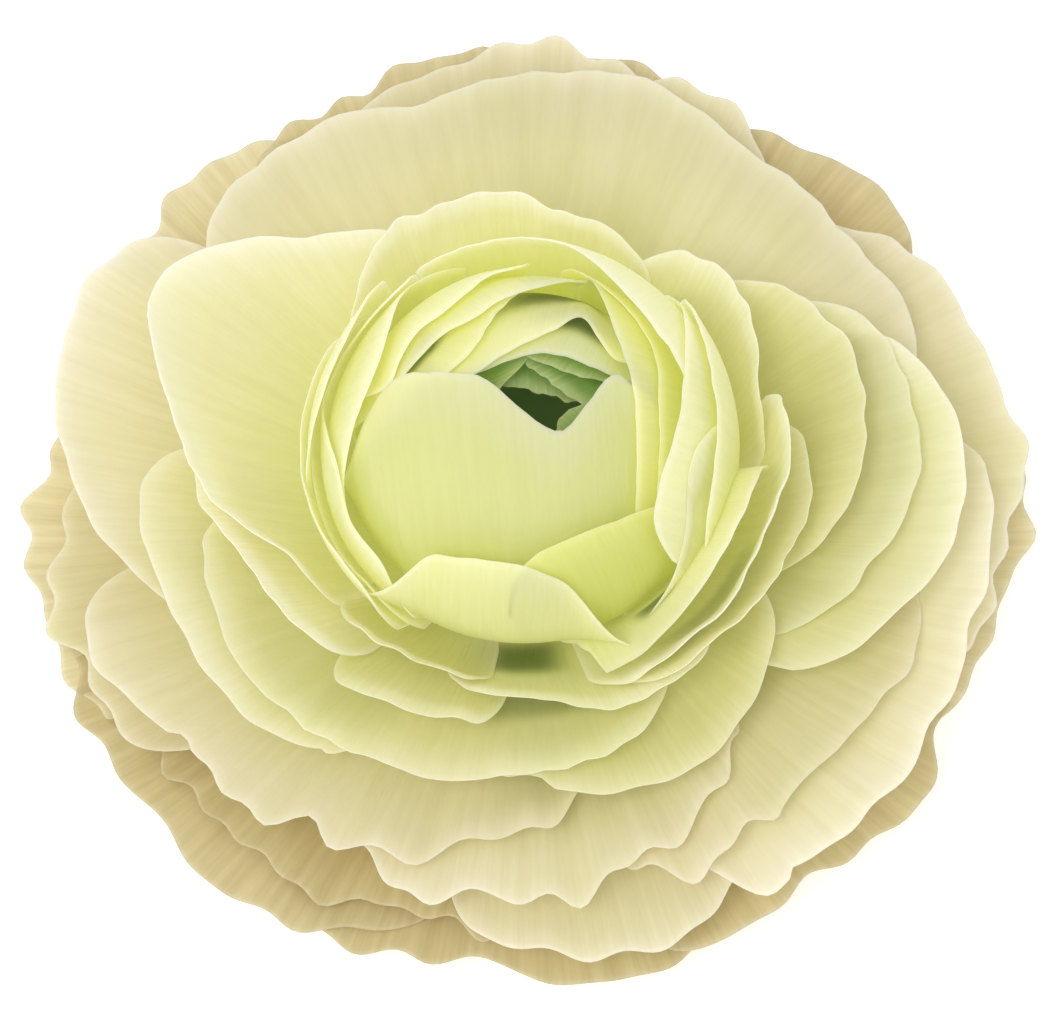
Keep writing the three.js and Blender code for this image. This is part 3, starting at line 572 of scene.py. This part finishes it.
# ------------------------------------------------------------------ petals
WHORL_SEED, SEPAL_SEED = 1200, 70
WHORL_WAVES, PETAL_WAVES, SEPAL_WAVES = (3, 11, 9), (2, 14, 8), (2, 7, 5)  # fewest, most, how many
FAR_FROM_EDGE = 9.0  # distance for a surface that has no pale edge
BOWL_LOOK, STEM_LOOK = (0.5, 0.5, 0.0), (0.3, 0.4, 0.0)  # tint (own tone and painted shade), seed and painted fold shade
FOLD_POWER = 4  # how sharply a patch of painted fold shade ends


def painted_fold_shade(whorl, petal, u, v):
    """How much painted shade each of a petal's points takes where it lies in folds that no light reaches,
    from 0 to 1.
    """
    shade_amount = np.zeros(len(u))
    for owner, at_u, at_v, half_u, half_v, strength in whorl.get("painted_fold_shades", ()):
        if owner == petal:
            away = ((u - at_u) / half_u) ** FOLD_POWER + ((v - at_v) / half_v) ** FOLD_POWER
            shade_amount += strength * np.exp(-away)
    return np.minimum(shade_amount, 1)


def same_for_all(values, points):
    return np.tile(values, (len(points), 1))


def make_whorl(name, number):
    whorl = WHORLS[name]
    rng = np.random.default_rng(WHORL_SEED + number)
    shared = Waves(rng, *WHORL_WAVES)
    verts, faces, place, kind, roots = [], [], [], [], []
    total = 0
    for k, row in enumerate(whorl["petals"]):
        order = k / (len(whorl["petals"]) - 1)
        own = Waves(rng, *PETAL_WAVES)
        roots.append(root_radius(whorl, row, order))
        surface = lambda u, v: petal_surface(whorl, row, order, own, shared, u, v)
        points, quads, about = blade(surface, *whorl["grid"], whorl["thick"])
        verts.append(points)
        faces += (quads + total).tolist()
        total += len(points)
        any_tint, seed = rng.uniform(0, 1), rng.uniform(0, 1)
        look = same_for_all([whorl["tone_and_shade_tints"][k] if "tone_and_shade_tints" in whorl else any_tint, seed, 0.0], points)
        # the third value is painted shade, dark green where folds lie in shadow
        look[:, 2] = painted_fold_shade(whorl, k, about[:, 0], about[:, 1])
        place.append(about)
        kind.append(look)
    points, quads = bowl_of_roots(whorl, roots)
    verts.append(points)
    faces += [[i + total for i in face] for face in quads]
    place.append(same_for_all([0.0, 0.0, FAR_FROM_EDGE], points))
    kind.append(same_for_all(BOWL_LOOK, points))
    material = petal_material(name.replace("petals", "petal_tissue"), **LOOKS[name])
    about = {"place": np.concatenate(place), "kind": np.concatenate(kind)}
    blades = name.replace("petals", "petal_blades")
    piece = make_piece(blades, np.concatenate(verts), faces, about, material)
    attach(piece, "root")
    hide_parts(name)


for number, name in enumerate(WHORLS):
    make_whorl(name, number)

# ------------------------------------------------------------------ sepals and stem
SEPALS = 5
SEPAL_START = 54
SEPAL_ROOT, SEPAL_REACH = 3.0, 16.0
SEPAL_HALF_WIDTHS = (1.5, 3.4, 4.2, 3.4, 0.9)
SEPAL_SEAT_HEIGHT, SEPAL_TIP_HEIGHT, SEPAL_ARCH = 1.15, 0.3, 0.35
SEPAL_GRID, SEPAL_THICKNESS = (24, 32), (0.8, 0.6)
SEPAL_UNEVENNESS = 0.03
SEPAL_TURN_ACROSS, SEPAL_TURN_ALONG = 40, 90  # degrees of its waves over half a width and a length
SEPAL_MOST_TINT = 0.6
STEM_SIDES = 64
STEM_OUTLINE = (  # radius and height, from the middle of the cut face to the receptacle's top
    (0.2, 0.0), (1.3, 0.0), (2.35, 0.0), (2.55, 0.08), (2.6, 0.3), (2.6, 1.2), (2.62, 1.6), (2.8, 1.85),
    (3.0, 2.0), (2.96, 2.4), (2.8, 3.6), (2.3, 7.4), (1.8, 11.0), (1.5, STEM_TOP), (0.2, STEM_TOP))

sepal_green = green_material("sepal_tissue", [(0.0, "7d9048"), (0.5, "8c9c54"), (1.0, "a3ab6a")])
stem_green = green_material("stem_skin", [(0.0, "6f8c42"), (0.5, "7d9a4e"), (1.0, "8ca95c")])


def make_sepal(number):
    turn = math.radians(SEPAL_START + 360 / SEPALS * number)
    rng = np.random.default_rng(SEPAL_SEED + number)
    bend = Waves(rng, *SEPAL_WAVES)

    def surface(u, v):
        reach = SEPAL_ROOT + (SEPAL_REACH - SEPAL_ROOT) * v
        uneven = 1 + SEPAL_UNEVENNESS * bend.at(u * SEPAL_TURN_ACROSS + v * SEPAL_TURN_ALONG, v)
        side = u * smooth(SEPAL_HALF_WIDTHS, 2 * v - 1) * uneven
        arch = SEPAL_ARCH * np.sin(math.pi * v) * (1 - u * u / 2)
        height = SEPAL_SEAT_HEIGHT + (SEPAL_TIP_HEIGHT - SEPAL_SEAT_HEIGHT) * v + arch
        x = reach * math.cos(turn) - side * math.sin(turn)
        y = reach * math.sin(turn) + side * math.cos(turn)
        return np.stack([x, y, height], -1)

    verts, quads, place = blade(surface, *SEPAL_GRID, SEPAL_THICKNESS)
    verts[:, 2] = np.maximum(verts[:, 2], 0)
    kind = same_for_all([rng.uniform(0, SEPAL_MOST_TINT), rng.uniform(0, 1), 0.0], verts)
    about = {"place": place, "kind": kind}
    piece = make_piece(f"sepal_leaf_{number + 1}", verts, quads, about, sepal_green)
    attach(piece, "root")
    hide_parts(f"sepal_{number + 1}")


for number in range(SEPALS):
    make_sepal(number)


def make_stem():
    verts, faces = lathe(np.array(STEM_OUTLINE), STEM_SIDES, closed=False)
    place = same_for_all([0.0, 0.0, FAR_FROM_EDGE], verts)
    place[:, 0] = np.arctan2(verts[:, 1], verts[:, 0]) / math.pi
    place[:, 1] = verts[:, 2] / STEM_TOP
    about = {"place": place, "kind": same_for_all(STEM_LOOK, verts)}
    piece = make_piece("cut_stem", verts, faces, about, stem_green)
    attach(piece, "root")
    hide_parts("stem_and_receptacle")


make_stem()


# ------------------------------------------------------------------ camera, floor and light
ELEVATION = 70.0
DISTANCE = 340.0
PICTURE = (1053, 1017)  # width and height of the photograph
FOCAL_PIXELS = 3510  # focal length, counted in its pixels
ORIGIN_PIXEL = (524.0, 520.0)  # where the part's origin falls in it
SENSOR = 36.0

tilt = math.radians(ELEVATION)
back = Vector((0, -math.cos(tilt), math.sin(tilt)))
upward = Vector((0, math.sin(tilt), math.cos(tilt)))
per_pixel = DISTANCE / FOCAL_PIXELS
aside = (PICTURE[0] / 2 - ORIGIN_PIXEL[0]) * per_pixel
above = (ORIGIN_PIXEL[1] - PICTURE[1] / 2) * per_pixel
camera_data = bpy.data.cameras.new("camera")
camera_data.sensor_width = SENSOR
camera_data.lens = SENSOR * FOCAL_PIXELS / PICTURE[0]
camera_data.clip_start, camera_data.clip_end = 0.01, 20.0
camera = bpy.data.objects.new("camera", camera_data)
camera.location = (back * DISTANCE + Vector((1, 0, 0)) * aside + upward * above) * MM
camera.rotation_euler = Euler((math.radians(90 - ELEVATION), 0, 0))
bpy.context.scene.collection.objects.link(camera)
bpy.context.scene.camera = camera


FLOOR_REACH = 3.0  # half a side, in metres
FLOOR_COLOUR = (0.8, 0.8, 0.79, 1)
FLOOR_GLOW = 0.45
KEY_PLACE, KEY_TARGET = (-0.25, -0.25, 0.8), (0, 0, 0.02)  # in metres
KEY_SIZE, KEY_POWER, KEY_COLOUR = 0.45, 2.5, (1.0, 0.98, 0.94)
STUDIO_COLOUR, STUDIO_LIGHT = (1.0, 1.0, 1.0, 1), 0.74
DIFFUSE_BOUNCES, BOUNCES = 8, 12


def make_floor():
    mesh = bpy.data.meshes.new("floor")
    corners = [(x * FLOOR_REACH, y * FLOOR_REACH, 0) for x, y in ((-1, -1), (1, -1), (1, 1), (-1, 1))]
    mesh.from_pydata(corners, [], [(0, 1, 2, 3)])
    material = bpy.data.materials.new("floor_paper")
    material.use_nodes = True
    shader = material.node_tree.nodes["Principled BSDF"]
    set_inputs(shader, {"Base Color": FLOOR_COLOUR, "Roughness": 0.9, "Specular IOR Level": 0.1,
                        "Emission Color": (1, 1, 1, 1), "Emission Strength": FLOOR_GLOW})
    mesh.materials.append(material)
    floor = bpy.data.objects.new("floor", mesh)
    bpy.context.scene.collection.objects.link(floor)


def make_light(name, place, target, size, power, colour):
    data = bpy.data.lights.new(name, "AREA")
    data.shape = "DISK"
    data.size = size
    data.energy = power
    data.color = colour
    light = bpy.data.objects.new(name, data)
    light.location = place
    light.rotation_mode = "QUATERNION"
    light.rotation_quaternion = (Vector(target) - Vector(place)).to_track_quat("-Z", "Y")
    bpy.context.scene.collection.objects.link(light)


make_floor()
make_light("key_light", KEY_PLACE, KEY_TARGET, KEY_SIZE, KEY_POWER, KEY_COLOUR)
world = bpy.data.worlds.new("studio")
world.use_nodes = True
set_inputs(world.node_tree.nodes["Background"], {"Color": STUDIO_COLOUR, "Strength": STUDIO_LIGHT})
bpy.context.scene.world = world
bpy.context.scene.view_settings.view_transform = "Standard"
bpy.context.scene.cycles.diffuse_bounces = DIFFUSE_BOUNCES
bpy.context.scene.cycles.max_bounces = BOUNCES
